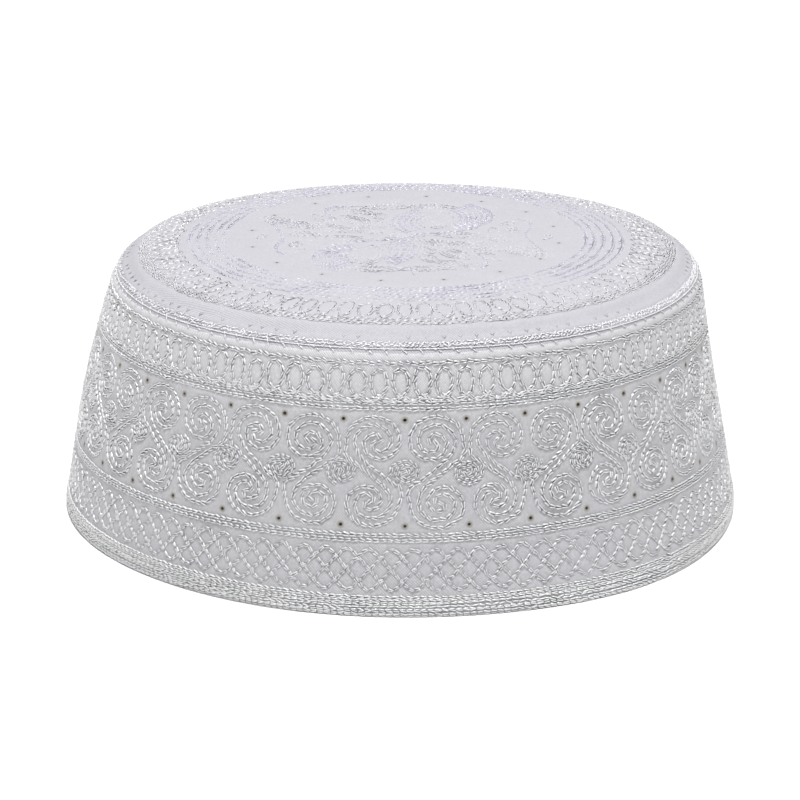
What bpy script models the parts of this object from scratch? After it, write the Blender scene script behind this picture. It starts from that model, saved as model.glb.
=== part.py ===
"""A stiff embroidered prayer cap: a round flat crown seamed into the top of a tapered side band.

Both pieces are quilted cotton pierced with small punched eyelets. The cap stands on its hem, on
Z = 0, with the middle of its box at the origin and its front towards -Y. Lengths are in metres.
"""
import math
from collections import namedtuple

import bmesh
import bpy
from mathutils import Matrix, Vector

# Driving dimensions
HEM_RADIUS = 0.092
CROWN_HEIGHT = 0.0736
SEAM_HEIGHT = 0.0666
WALL_TAPER = 0.1665
PUNCH_LENGTH = 0.008

# The crown and the band sink this much at the back, where the cloth is softest
BACK_DROP = 0.0034
DROP_STARTS_AT = 0.048
DROP_FULL_AT = 0.074

# Punched eyelets
EYELET_RADIUS = 0.0006
EYELETS_IN_A_ROW = 34
EYELET_ROW_HEIGHTS = (0.0231, 0.0497)
CROWN_EYELETS = 16
CROWN_EYELET_RING = 0.0419
FIRST_CROWN_EYELET_DEG = 14.0
EYELET_SIDES = 8

# Two facets to each eyelet of a row, so that every eyelet sits in the middle of one
FACETS = 2 * EYELETS_IN_A_ROW

# The band's outside: how far the cloth stands out of the plain tapered wall at each height
Station = namedtuple("Station", "height stand_out")
BAND_OUTSIDE = (
    Station(0.0000, -0.0005),
    Station(0.0007, 0.0004),
    Station(0.0052, 0.0004),
    Station(0.0062, 0.0000),
    Station(0.0170, 0.0000),
    Station(0.0295, 0.0000),
    Station(0.0435, 0.0000),
    Station(0.0560, 0.0000),
    Station(0.0638, 0.0000),
    Station(0.0652, -0.0010),
    Station(0.0660, -0.0020),
    Station(0.0670, -0.0026),
    Station(0.0679, -0.0038),
)
# The band's inside, counted from the same plain wall: the hem is a double fold
BAND_INSIDE = (
    Station(0.0669, -0.0048),
    Station(0.0655, -0.0036),
    Station(0.0628, -0.0015),
    Station(0.0560, -0.0015),
    Station(0.0435, -0.0015),
    Station(0.0295, -0.0015),
    Station(0.0170, -0.0015),
    Station(0.0072, -0.0015),
    Station(0.0062, -0.0019),
    Station(0.0007, -0.0019),
    Station(0.0000, -0.0015),
)

# The crown's outside, from the flat middle over the shoulder to the edge that laps the band's top
Turn = namedtuple("Turn", "radius height thickness")
CROWN_OUTSIDE = (
    Turn(0.0480, 0.0736, 0.0015),
    Turn(0.0550, 0.0736, 0.0015),
    Turn(0.0615, 0.0736, 0.0015),
    Turn(0.0685, 0.0730, 0.0015),
    Turn(0.0738, 0.0721, 0.0015),
    Turn(0.0752, 0.0714, 0.0014),
    Turn(0.0773, 0.0694, 0.0012),
    Turn(0.0786, 0.06865, 0.0012),
    Turn(0.0798, 0.0677, 0.0011),
    Turn(0.0803, 0.0666, 0.0010),
)

# How the soft cloth has set: where the wall or the crown's edge bellies out or is drawn in
Set = namedtuple("Set", "angle_deg spread_deg at_hem at_middle at_top")
SOFT_SET = (
    Set(188.0, 38.0, 0.0009, 0.0020, -0.0027),
    Set(352.0, 38.0, -0.0017, -0.0011, -0.0012),
    Set(225.0, 25.0, -0.0004, 0.0000, 0.0000),
    Set(315.0, 25.0, 0.0024, 0.0000, 0.0000),
    Set(140.0, 35.0, 0.0000, 0.0000, 0.0008),
    Set(90.0, 35.0, 0.0000, 0.0000, -0.0006),
    Set(40.0, 35.0, 0.0000, 0.0000, 0.0010),
)
HEM_SET_FADES_BY = 0.030
TOP_SET_POWER = 1.5


def clear_scene():
    for item in list(bpy.data.objects):
        bpy.data.objects.remove(item, do_unlink=True)


def cloth_material(name, colour, roughness):
    material = bpy.data.materials.new(name)
    material.use_nodes = True
    shader = material.node_tree.nodes["Principled BSDF"]
    shader.inputs["Base Color"].default_value = (*colour, 1.0)
    shader.inputs["Roughness"].default_value = roughness
    shader.inputs["Metallic"].default_value = 0.0
    return material


def wall_radius(height):
    return HEM_RADIUS - WALL_TAPER * height


def smooth_step(value, low, high):
    share = min(1.0, max(0.0, (value - low) / (high - low)))
    return share * share * (3.0 - 2.0 * share)


def set_out(angle, rise, outness):
    """How far the set of the cloth moves it outwards: rise is 0 at the hem and 1 at the seam."""
    near_hem = max(0.0, 1.0 - rise * SEAM_HEIGHT / HEM_SET_FADES_BY) ** 2
    near_middle = math.sin(math.pi * rise)
    near_top = rise ** TOP_SET_POWER * outness
    total = 0.0
    for row in SOFT_SET:
        turn = (math.degrees(angle) - row.angle_deg + 180.0) % 360.0 - 180.0
        nearness = math.exp(-((turn / row.spread_deg) ** 2))
        total += nearness * (row.at_hem * near_hem + row.at_middle * near_middle + row.at_top * near_top)
    return total


def place(angle, radius, height):
    """A point of the cap, from its place on the evenly turned shape to its place in the set cloth."""
    rise = min(1.0, max(0.0, height / SEAM_HEIGHT))
    outness = smooth_step(radius, DROP_STARTS_AT, DROP_FULL_AT)
    backness = (1.0 + math.sin(angle)) / 2.0
    out = radius + set_out(angle, rise, outness)
    return Vector((out * math.cos(angle), out * math.sin(angle), height - BACK_DROP * backness * rise * outness))


def inner_line(turns):
    """The inside of the cloth: each outside point moved square to the line by the thickness there."""
    moved = []
    for index, turn in enumerate(turns):
        before = turns[max(0, index - 1)]
        after = turns[min(len(turns) - 1, index + 1)]
        along = Vector((after.radius - before.radius, after.height - before.height)).normalized()
        moved.append((turn.radius + along.y * turn.thickness, turn.height - along.x * turn.thickness))
    return moved


def turned_cloth(name, section, joined_ends, material):
    """Turns a section of (radius, height) points round Z and lets the cloth set.

    With joined_ends the section is a closed loop. Without, its two ends each close with a flat disc.
    """
    shell = bmesh.new()
    first_angle = -math.pi / 2.0 + math.pi / FACETS
    column = [shell.verts.new((r * math.cos(first_angle), r * math.sin(first_angle), z)) for r, z in section]
    edges = [shell.edges.new(pair) for pair in zip(column, column[1:])]
    if joined_ends:
        edges.append(shell.edges.new((column[-1], column[0])))
    bmesh.ops.spin(shell, geom=edges, cent=(0.0, 0.0, 0.0), axis=(0.0, 0.0, 1.0),
                   angle=2.0 * math.pi, steps=FACETS, use_merge=True)
    bmesh.ops.holes_fill(shell, edges=[edge for edge in shell.edges if edge.is_boundary], sides=0)
    for vertex in shell.verts:
        angle = math.atan2(vertex.co.y, vertex.co.x)
        vertex.co = place(angle, math.hypot(vertex.co.x, vertex.co.y), vertex.co.z)
    bmesh.ops.recalc_face_normals(shell, faces=shell.faces)
    mesh = bpy.data.meshes.new(name)
    shell.to_mesh(mesh)
    shell.free()
    mesh.materials.append(material)
    mesh.shade_smooth()
    mesh.set_sharp_from_angle(angle=math.radians(50.0))
    piece = bpy.data.objects.new(name, mesh)
    bpy.context.collection.objects.link(piece)
    return piece


def punch(piece, holes):
    """Cuts a round hole through the piece at each (point, direction)."""
    punches = bmesh.new()
    for point, direction in holes:
        turn = direction.to_track_quat("Z", "Y").to_matrix().to_4x4()
        bmesh.ops.create_cone(punches, cap_ends=True, segments=EYELET_SIDES, depth=PUNCH_LENGTH,
                              radius1=EYELET_RADIUS, radius2=EYELET_RADIUS,
                              matrix=Matrix.Translation(point) @ turn)
    mesh = bpy.data.meshes.new(piece.name + "_punches")
    punches.to_mesh(mesh)
    punches.free()
    cutter = bpy.data.objects.new(piece.name + "_punches", mesh)
    cutter.hide_render = True
    cutter.display_type = "WIRE"
    bpy.context.collection.objects.link(cutter)
    cut = piece.modifiers.new("eyelets", "BOOLEAN")
    cut.operation = "DIFFERENCE"
    cut.solver = "EXACT"
    cut.object = cutter
    return cutter


def build_side_band():
    section = [(wall_radius(row.height) + row.stand_out, row.height) for row in BAND_OUTSIDE + BAND_INSIDE]
    material = cloth_material("band_cotton", (0.62, 0.64, 0.71), 0.82)
    band = turned_cloth("side_band", section, True, material)
    holes = []
    for height in EYELET_ROW_HEIGHTS:
        for number in range(EYELETS_IN_A_ROW):
            angle = -math.pi / 2.0 + 2.0 * math.pi * number / EYELETS_IN_A_ROW
            direction = Vector((math.cos(angle), math.sin(angle), WALL_TAPER)).normalized()
            holes.append((place(angle, wall_radius(height), height), direction))
    return band, punch(band, holes)


def build_crown():
    outside = [(row.radius, row.height) for row in CROWN_OUTSIDE]
    inside = inner_line(CROWN_OUTSIDE)
    material = cloth_material("crown_cotton", (0.66, 0.68, 0.75), 0.82)
    crown = turned_cloth("crown", outside + inside[::-1], False, material)
    holes = []
    for number in range(CROWN_EYELETS):
        angle = math.radians(FIRST_CROWN_EYELET_DEG) + 2.0 * math.pi * number / CROWN_EYELETS
        holes.append((place(angle, CROWN_EYELET_RING, CROWN_HEIGHT), Vector((0.0, 0.0, 1.0))))
    return crown, punch(crown, holes)


def centre_on_origin(widest, pieces):
    """Moves the pieces so that the middle of the widest one's box is over the origin."""
    across = [vertex.co.x for vertex in widest.data.vertices]
    deep = [vertex.co.y for vertex in widest.data.vertices]
    to_origin = Vector((-(min(across) + max(across)) / 2.0, -(min(deep) + max(deep)) / 2.0, 0.0))
    for piece in pieces:
        piece.data.transform(Matrix.Translation(to_origin))


clear_scene()
side_band, band_punches = build_side_band()
crown, crown_punches = build_crown()
centre_on_origin(side_band, (side_band, band_punches, crown, crown_punches))
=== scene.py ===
"""The looks of the embroidered prayer cap: its cloth, its eyelets and every row of its stitching.

Lengths are in metres. Angles run round the cap from +X, and its front is at -90 degrees, towards -Y.
"""
import math

import bpy
import numpy as np
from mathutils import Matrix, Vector, kdtree, noise


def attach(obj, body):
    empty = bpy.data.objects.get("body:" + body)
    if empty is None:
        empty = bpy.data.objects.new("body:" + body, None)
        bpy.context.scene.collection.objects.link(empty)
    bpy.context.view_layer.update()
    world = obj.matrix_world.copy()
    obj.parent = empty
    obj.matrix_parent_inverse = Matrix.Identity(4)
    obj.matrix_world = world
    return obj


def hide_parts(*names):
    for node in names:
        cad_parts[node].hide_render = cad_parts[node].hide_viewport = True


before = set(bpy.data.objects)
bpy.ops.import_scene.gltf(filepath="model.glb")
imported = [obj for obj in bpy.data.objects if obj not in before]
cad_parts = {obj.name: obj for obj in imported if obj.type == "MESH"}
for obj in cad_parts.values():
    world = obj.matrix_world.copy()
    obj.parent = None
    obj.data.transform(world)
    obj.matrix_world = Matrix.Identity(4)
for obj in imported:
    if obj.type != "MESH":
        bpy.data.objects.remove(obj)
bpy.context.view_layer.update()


# Side band: one strip of stiffened cotton twill, cut to taper and joined into a ring. It is folded up
# at the hem, turned in at the top, and punched with two rows of eyelets singed at their rims.
HEM_RADIUS = 0.092
WALL_TAPER = 0.1665
SEAM_HEIGHT = 0.0666
FRONT = -math.pi / 2.0

BACK_DROP = 0.0034
DROP_STARTS_AT = 0.048
DROP_FULL_AT = 0.074

# Where the soft cloth has set outwards or inwards: angle, spread, at the hem, at middle height, at the top
CLOTH_SET = (
    (188.0, 38.0, 0.0009, 0.0020, -0.0027),
    (352.0, 38.0, -0.0017, -0.0011, -0.0012),
    (225.0, 25.0, -0.0004, 0.0000, 0.0000),
    (315.0, 25.0, 0.0024, 0.0000, 0.0000),
    (140.0, 35.0, 0.0000, 0.0000, 0.0008),
    (90.0, 35.0, 0.0000, 0.0000, -0.0006),
    (40.0, 35.0, 0.0000, 0.0000, 0.0010),
)
HEM_SET_FADES_BY = 0.030
TOP_SET_POWER = 1.5

# The band's two faces: height, and how far the cloth stands out of the plain tapered wall
BAND_OUTSIDE = (
    (0.0000, -0.0005), (0.0007, 0.0004), (0.0052, 0.0004), (0.0062, 0.0000), (0.0645, 0.0000),
    (0.0655, 0.0000), (0.0661, -0.0002), (0.0665, -0.0005), (0.0668, -0.0012), (0.0671, -0.0022),
    (0.0674, -0.0032), (0.0679, -0.0043),
)
BAND_INSIDE = (
    (0.0000, -0.0015), (0.0007, -0.0019), (0.0062, -0.0019), (0.0072, -0.0015), (0.0211, -0.0015),
    (0.0251, -0.0015), (0.0365, -0.0015), (0.0477, -0.0015), (0.0517, -0.0015), (0.0628, -0.0015),
    (0.0655, -0.0036), (0.0669, -0.0048),
)

WALL_THICKNESS = 0.0015

EYELET_RADIUS = 0.00042
EYELETS_IN_A_ROW = 34
EYELET_ROW_HEIGHTS = (0.0231, 0.0497)
SINGE_REACH = 0.0010

BAND_COLUMNS = 24 * EYELETS_IN_A_ROW
BAND_LINING_COLUMNS = 4 * EYELETS_IN_A_ROW
BAND_CELL = 0.00068


def set_out(angle, rise, outness):
    """How far the set of the cloth moves it outwards: rise is 0 at the hem and 1 at the seam."""
    near_hem = np.clip(1.0 - rise * SEAM_HEIGHT / HEM_SET_FADES_BY, 0.0, 1.0) ** 2
    near_middle = np.sin(np.pi * rise)
    near_top = rise ** TOP_SET_POWER * outness
    total = 0.0
    for at, spread, at_hem, at_middle, at_top in CLOTH_SET:
        turn = (np.degrees(angle) - at + 180.0) % 360.0 - 180.0
        moved = at_hem * near_hem + at_middle * near_middle + at_top * near_top
        total = total + np.exp(-((turn / spread) ** 2)) * moved
    return total


def in_set_cloth(angle, radius, height):
    """Points of the cap from their places on the evenly turned shape, as an array of rows x, y, z."""
    share = np.clip((radius - DROP_STARTS_AT) / (DROP_FULL_AT - DROP_STARTS_AT), 0.0, 1.0)
    outness = share * share * (3.0 - 2.0 * share)
    rise = np.clip(height / SEAM_HEIGHT, 0.0, 1.0)
    drop = BACK_DROP * (1.0 + np.sin(angle)) / 2.0 * rise * outness
    out = radius + set_out(angle, rise, outness)
    return np.stack([out * np.cos(angle), out * np.sin(angle), height - drop], axis=-1)


def full_turn(count):
    """The angles of a number of even steps round the cap."""
    return 2.0 * math.pi * np.arange(count) / count


# The cap is centred on the middle of its hem's box, as the part is, which has two facets to an eyelet
hem_height, hem_stand_out = BAND_OUTSIDE[1]
facet_angles = FRONT + math.pi * (np.arange(2 * EYELETS_IN_A_ROW) + 0.5) / EYELETS_IN_A_ROW
widest = in_set_cloth(facet_angles, HEM_RADIUS + hem_stand_out - WALL_TAPER * hem_height, hem_height)
TO_ORIGIN = -(widest.min(axis=0) + widest.max(axis=0)) / 2.0 * np.array([1.0, 1.0, 0.0])


def cap_point(angle, radius, height):
    return in_set_cloth(angle, radius, height) + TO_ORIGIN


def rounded(line):
    """A line of (radius, height) points with its corners cut twice, as cloth turns a corner."""
    line = np.array(line)
    for _ in range(2):
        near = 0.75 * line[:-1] + 0.25 * line[1:]
        far = 0.25 * line[:-1] + 0.75 * line[1:]
        cut = np.stack([near, far], axis=1).reshape(-1, 2)
        line = np.vstack([line[:1], cut[1:-1], line[-1:]])
    return line


def walk_along(line):
    """How far along the line each of its points lies."""
    return np.concatenate([[0.0], np.cumsum(np.hypot(*np.diff(line, axis=0).T))])


def evenly(line, cell, stops, column):
    """The line walked in near-equal cells, with a point where the given column reaches each stop."""
    walked = walk_along(line)
    marks = [0.0] + [float(np.interp(stop, line[:, column], walked)) for stop in stops] + [walked[-1]]
    places = [np.linspace(a, b, max(1, round((b - a) / cell)), endpoint=False)
              for a, b in zip(marks, marks[1:])]
    places = np.append(np.concatenate(places), walked[-1])
    return np.stack([np.interp(places, walked, line[:, k]) for k in (0, 1)], axis=1)


def wall_line(table):
    return [(HEM_RADIUS - WALL_TAPER * height + stand_out, height) for height, stand_out in table]


# A square of grid points round an eyelet is drawn in to a circle, ring by ring: its radius in eyelet
# radii, and how much of the square's own place is kept
EYELET_RINGS = {2: (1.0, 0.0), 3: (1.75, 0.26), 4: (2.7, 0.74)}
RIM = [(2, 0), (2, 1), (2, 2), (1, 2), (0, 2), (-1, 2), (-2, 2), (-2, 1),
       (-2, 0), (-2, -1), (-2, -2), (-1, -2), (0, -2), (1, -2), (2, -2), (2, -1)]


class ClothShell:
    """Collects the points and faces of one turned piece of cloth, outside first, then the inside."""

    def __init__(self):
        self.points = []
        self.faces = []
        self.count = 0

    def add(self, places):
        start = self.count
        self.points.append(places)
        self.count += len(places)
        return np.arange(start, self.count)

    def bridge(self, first, second, skipped=()):
        """Faces between two closed rings; where their counts differ, each cell of the coarser is a fan."""
        if len(first) == len(second):
            cells = zip(first, np.roll(first, -1), np.roll(second, -1), second)
            self.faces += [cell for k, cell in enumerate(cells) if k not in skipped]
            return
        fine, coarse = (first, second) if len(first) > len(second) else (second, first)
        step = len(fine) // len(coarse)
        for k in range(len(coarse)):
            run = [fine[(k * step + j) % len(fine)] for j in range(step + 1)]
            cell = run + [coarse[(k + 1) % len(coarse)], coarse[k]]
            self.faces.append(tuple(cell if fine is first else cell[::-1]))

    def mesh(self, name, outside_count, material):
        """The finished mesh, without the grid points inside the eyelets, its outside points marked."""
        used, corners = np.unique(np.concatenate(self.faces), return_inverse=True)
        ends = np.cumsum([len(face) for face in self.faces])
        faces = [part.tolist() for part in np.split(corners, ends[:-1])]
        mesh = bpy.data.meshes.new(name)
        mesh.from_pydata(np.concatenate(self.points)[used].tolist(), [], faces)
        mesh.materials.append(material)
        mesh.shade_smooth()
        mesh.set_sharp_from_angle(angle=math.radians(55.0))
        outside = mesh.attributes.new("outside", "BOOLEAN", "POINT")
        outside.data.foreach_set("value", used < outside_count)
        return placed(name, mesh)


def placed(name, data):
    """A new object in the scene."""
    item = bpy.data.objects.new(name, data)
    bpy.context.scene.collection.objects.link(item)
    return item


def punched_grid(shell, line, columns_at, first_angle, eyelet_rows, eyelets, eyelet_radius):
    """A turned outside walked along a line, with eyelets opened in it.

    columns_at gives the number of columns at each row. Returns the first ring, the last ring and, for
    each eyelet, its rim.
    """
    rings = []
    for row, columns in enumerate(columns_at):
        angles = first_angle + full_turn(columns)
        walk = np.full(columns, float(row))
        for eyelet_row in eyelet_rows:
            down = row - eyelet_row
            radius = line[eyelet_row][0]
            width = 2.0 * math.pi * radius / columns
            tall = float(np.hypot(*(line[eyelet_row + 1] - line[eyelet_row])))
            for across in range(-4, 5):
                ring_number = max(abs(across), abs(down))
                if ring_number not in EYELET_RINGS:
                    continue
                reach, kept = EYELET_RINGS[ring_number]
                x, y = across * width, down * tall
                turned = math.hypot(x, y)
                new_x = (1.0 - kept) * reach * eyelet_radius * x / turned + kept * x
                new_y = (1.0 - kept) * reach * eyelet_radius * y / turned + kept * y
                at = (np.arange(eyelets) * (columns // eyelets) + across) % columns
                angles[at] += (new_x - x) / radius
                walk[at] += (new_y - y) / tall
        radius = np.interp(walk, np.arange(len(line)), line[:, 0])
        height = np.interp(walk, np.arange(len(line)), line[:, 1])
        rings.append(shell.add(cap_point(angles, radius, height)))
    rims = []
    opened = {row: set() for row in range(len(line))}
    for eyelet_row in eyelet_rows:
        columns = columns_at[eyelet_row]
        for centre in range(0, columns, columns // eyelets):
            rims.append([rings[eyelet_row + down][(centre + across) % columns] for across, down in RIM])
            for down in range(-2, 2):
                opened[eyelet_row + down].update((centre + across) % columns for across in range(-2, 2))
    for row, (low, high) in enumerate(zip(rings, rings[1:])):
        shell.bridge(low, high, opened[row])
    return rings[0], rings[-1], rims


def lined(shell, line, columns, first_angle, eyelet_cells, eyelets, rims, eyelet_centres, eyelet_radius):
    """The plain inside of a turned piece, in coarse cells, joined to the outside at each eyelet's rim."""
    angles = first_angle + full_turn(columns)
    rings = [shell.add(cap_point(angles, np.full(columns, radius), np.full(columns, height)))
             for radius, height in line]
    holed = {}
    for order, cell in enumerate(eyelet_cells):
        for number in range(eyelets):
            holed[(cell, (number * (columns // eyelets) - 1) % columns)] = order * eyelets + number
    bearings = np.arctan2([down for _, down in RIM], [across for across, _ in RIM])
    for row, (low, high) in enumerate(zip(rings, rings[1:])):
        for k in range(columns):
            after = (k + 1) % columns
            if (row, k) not in holed:
                shell.faces.append((high[k], high[after], low[after], low[k]))
                continue
            number = holed[(row, k)]
            centre_angle, centre_radius, centre_height, along_line = eyelet_centres[number]
            across = eyelet_radius * np.cos(bearings) / centre_radius
            up = eyelet_radius * np.sin(bearings)
            inner = shell.add(cap_point(centre_angle + across, centre_radius + up * along_line[0],
                                        centre_height + up * along_line[1]))
            shell.bridge(rims[number], inner)
            corners = (high[after], high[k], low[k], low[after])
            for quarter in range(4):
                arc = [inner[(4 * quarter + 2 + j) % len(RIM)] for j in range(5)]
                shell.faces.append((corners[quarter], *arc, corners[(quarter + 1) % 4]))
    return rings


def new_material(name, looks):
    """A material with the given looks set on its shader, its node tree and the shader."""
    material = bpy.data.materials.new(name)
    material.use_nodes = True
    shader = material.node_tree.nodes["Principled BSDF"]
    for socket, value in looks.items():
        shader.inputs[socket].default_value = value
    return material, material.node_tree, shader


def node(tree, kind, given=(), output=None, **settings):
    """Adds a node, makes its settings, links or sets its inputs, and gives an output, else its first."""
    made = tree.nodes.new(kind)
    for setting, value in settings.items():
        setattr(made, setting, value)
    for socket, value in dict(given).items():
        if isinstance(value, bpy.types.NodeSocket):
            tree.links.new(value, made.inputs[socket])
        else:
            made.inputs[socket].default_value = value
    if output:
        return made.outputs[output]
    return next((socket for socket in made.outputs if socket.enabled), None)


def counted(tree, operation, *values):
    return node(tree, "ShaderNodeMath", enumerate(values), operation=operation)


def reached(tree, value, low, high, most=1.0):
    """Rises softly from nothing at the low value to the most at the high one."""
    given = {"Value": value, "From Min": low, "From Max": high, "To Max": most}
    return node(tree, "ShaderNodeMapRange", given, interpolation_type="SMOOTHSTEP")


def mixed(tree, share, first, second, **settings):
    """Two colours mixed by a share."""
    first, second = [(*tone, 1.0) if isinstance(tone, tuple) else tone for tone in (first, second)]
    given = {"Factor": share, "A": first, "B": second}
    return node(tree, "ShaderNodeMix", given, data_type="RGBA", **settings)


TWILL_SCALE = 860.0
MOTTLE_SCALE = 55.0
NAP_SCALE = 1700.0
SINGED = (0.30, 0.28, 0.23)
COTTON_LOOKS = {"Roughness": 0.82, "Specular IOR Level": 0.25, "Sheen Weight": 0.12, "Sheen Roughness": 0.5}


def cotton(name, pale, shade, well_shade_tone, painted_light_from, painted_light_by):
    """Fine white cotton twill: diagonal ribs, a soft mottle, painted shade in the stitch wells, painted light
    making it paler up the wall, singed eyelet rims.
    """
    material, tree, shader = new_material(name, COTTON_LOOKS)
    laid = node(tree, "ShaderNodeUVMap", uv_map="cloth")
    mirrored = node(tree, "ShaderNodeMapping", {"Vector": laid, "Scale": (-1.0, 1.0, 1.0)})

    def ribs(given):
        return node(tree, "ShaderNodeTexWave", given, "Fac", wave_type="BANDS", bands_direction="DIAGONAL")

    twill = ribs({"Vector": laid, "Scale": TWILL_SCALE, "Distortion": 0.6, "Detail": 1.0})
    crossing = ribs({"Vector": mirrored, "Scale": 1.03 * TWILL_SCALE, "Distortion": 0.4})
    place = node(tree, "ShaderNodeTexCoord", output="Object")
    mottle = node(tree, "ShaderNodeTexNoise", {"Vector": place, "Scale": MOTTLE_SCALE, "Detail": 4.0}, "Fac")
    nap = node(tree, "ShaderNodeTexNoise", {"Vector": place, "Scale": NAP_SCALE, "Detail": 3.0}, "Fac")
    height = node(tree, "ShaderNodeSeparateXYZ", {"Vector": place}, "Z")
    hatched = counted(tree, "MULTIPLY_ADD", crossing, 1.0, twill)
    patchy = counted(tree, "MULTIPLY_ADD", mottle, 0.6, counted(tree, "MULTIPLY_ADD", nap, 3.6, -2.95))
    shaded = counted(tree, "MULTIPLY_ADD", hatched, 1.1, patchy)
    # Painted light: the tone grows paler with height up to the seam
    paler = counted(tree, "ADD", reached(tree, height, painted_light_from, SEAM_HEIGHT, painted_light_by), shaded)
    tone = mixed(tree, paler, shade, pale, clamp_factor=False)
    # Painted shade: near the stitches that shade it, the cloth's tone goes to its well shade, where their
    # shadow falls
    well = node(tree, "ShaderNodeAttribute", output="Fac", attribute_name="painted_well_shade")
    singe = node(tree, "ShaderNodeAttribute", output="Fac", attribute_name="singe")
    tone = mixed(tree, singe, mixed(tree, well, tone, well_shade_tone), SINGED)
    tree.links.new(tone, shader.inputs["Base Color"])
    fine = node(tree, "ShaderNodeBump", {"Strength": 0.5, "Distance": 0.00008, "Height": nap})
    given = {"Strength": 0.6, "Distance": 0.00012, "Height": twill, "Normal": fine}
    tree.links.new(node(tree, "ShaderNodeBump", given), shader.inputs["Normal"])
    return material


BAND_PALE = (0.656, 0.653, 0.677)
BAND_SHADE = (0.576, 0.573, 0.596)
# Painted shade: the band's tone in the stitch wells
BAND_WELL_SHADE = (0.36, 0.36, 0.385)
# Painted light: the wall is paler towards its top, where more light falls: from this height, and by how much
# of the two tones' difference
WALL_PAINTED_LIGHT = (0.040, 1.7)

band_line = evenly(rounded(wall_line(BAND_OUTSIDE)), BAND_CELL, EYELET_ROW_HEIGHTS, 1)
band_lining_line = np.array(wall_line(BAND_INSIDE))
band_eyelet_rows = [int(np.argmin(abs(band_line[:, 1] - height))) for height in EYELET_ROW_HEIGHTS]
band_shell = ClothShell()
band_bottom, band_top, band_rims = punched_grid(
    band_shell, band_line, [BAND_COLUMNS] * len(band_line), FRONT, band_eyelet_rows, EYELETS_IN_A_ROW,
    EYELET_RADIUS)
band_outside_count = band_shell.count
lining_step = 2.0 * math.pi / BAND_LINING_COLUMNS
eyelet_angles = FRONT + full_turn(EYELETS_IN_A_ROW)
lean = np.array([-WALL_TAPER, 1.0]) / math.hypot(WALL_TAPER, 1.0)
inside_places = []
for eyelet_height in EYELET_ROW_HEIGHTS:
    inside_radius = HEM_RADIUS - WALL_TAPER * eyelet_height - WALL_THICKNESS
    inside_places += [(angle, inside_radius, eyelet_height, lean) for angle in eyelet_angles]
band_lining = lined(band_shell, band_lining_line, BAND_LINING_COLUMNS, FRONT + lining_step / 2.0,
                    (4, 7), EYELETS_IN_A_ROW, band_rims, inside_places, EYELET_RADIUS)
half_cell = BAND_COLUMNS // BAND_LINING_COLUMNS // 2
band_shell.bridge(band_lining[0], np.roll(band_bottom, -half_cell))
band_shell.bridge(np.roll(band_top, -half_cell), band_lining[-1])
band_cotton = cotton("band_cotton_twill", BAND_PALE, BAND_SHADE, BAND_WELL_SHADE, *WALL_PAINTED_LIGHT)
side_band = band_shell.mesh("side_band_cloth", band_outside_count, band_cotton)
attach(side_band, "root")
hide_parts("side_band")


# Crown: a round of the same twill, flat in the middle, bent down over the shoulder and lapped by its
# turned edge over the top of the side band, to which that edge is overcast. Eyelets ring its middle.
CROWN_HEIGHT = 0.0736
# The crown's two faces, walked from the lapped edge in to the middle: radius, height
CROWN_OUTSIDE = (
    (0.0807, 0.0661), (0.0804, 0.0669), (0.0797, 0.0679), (0.0787, 0.0688), (0.0773, 0.0694),
    (0.0752, 0.0714), (0.0738, 0.0721), (0.0685, 0.0730), (0.0615, 0.0736), (0.0480, 0.0736),
    (0.0000, 0.0736),
)
CROWN_INSIDE = (
    (0.0800, 0.0665), (0.0790, 0.0672), (0.0779, 0.0679), (0.0765, 0.0685), (0.0743, 0.0703),
    (0.0733, 0.0707), (0.0683, 0.0715), (0.0615, 0.0721), (0.0540, 0.0721), (0.0438, 0.0721),
    (0.0400, 0.0721), (0.0220, 0.0721), (0.0080, 0.0721),
)
CROWN_EYELETS = 16
CROWN_EYELET_RING = 0.0419
CROWN_EYELET_RADIUS = 0.00034
FIRST_CROWN_EYELET = math.radians(14.0)
CROWN_CELL = 0.00066
# The number of grid columns doubles outwards, from each of these radii
CROWN_COLUMNS = ((0.0000, 20), (0.0028, 40), (0.0055, 80), (0.0110, 160), (0.0220, 320), (0.0455, 640))
CROWN_LINING_COLUMNS = 64
# Painted shade: the same twill as the band's, given darker tones to temper the stronger light on the crown
CROWN_PALE = (0.610, 0.602, 0.640)
CROWN_SHADE = (0.560, 0.552, 0.590)
# Painted shade: the crown's tone in the stitch wells
CROWN_WELL_SHADE = (0.49, 0.48, 0.52)

crown_line = evenly(rounded(CROWN_OUTSIDE)[::-1], CROWN_CELL, (CROWN_EYELET_RING,), 0)[:0:-1]
crown_columns = [[count for start, count in CROWN_COLUMNS if radius >= start][-1] for radius, _ in crown_line]
crown_eyelet_row = int(np.argmin(abs(crown_line[:, 0] - CROWN_EYELET_RING)))
crown_shell = ClothShell()
crown_edge, crown_middle, crown_rims = punched_grid(
    crown_shell, crown_line, crown_columns, FIRST_CROWN_EYELET, [crown_eyelet_row], CROWN_EYELETS,
    CROWN_EYELET_RADIUS)
crown_centre = crown_shell.add(cap_point(np.zeros(1), np.zeros(1), np.full(1, CROWN_HEIGHT)))
for first, second in zip(crown_middle, np.roll(crown_middle, -1)):
    crown_shell.faces.append((first, second, crown_centre[0]))
crown_outside_count = crown_shell.count
crown_half_step = math.pi / CROWN_LINING_COLUMNS
crown_eyelet_angles = FIRST_CROWN_EYELET + full_turn(CROWN_EYELETS)
crown_inside_places = [(angle, CROWN_EYELET_RING, CROWN_INSIDE[-1][1], (-1.0, 0.0))
                       for angle in crown_eyelet_angles]
crown_lining = lined(crown_shell, CROWN_INSIDE, CROWN_LINING_COLUMNS, FIRST_CROWN_EYELET + crown_half_step,
                     (9,), CROWN_EYELETS, crown_rims, crown_inside_places, CROWN_EYELET_RADIUS)
crown_shell.faces.append(tuple(crown_lining[-1][::-1]))
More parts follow.
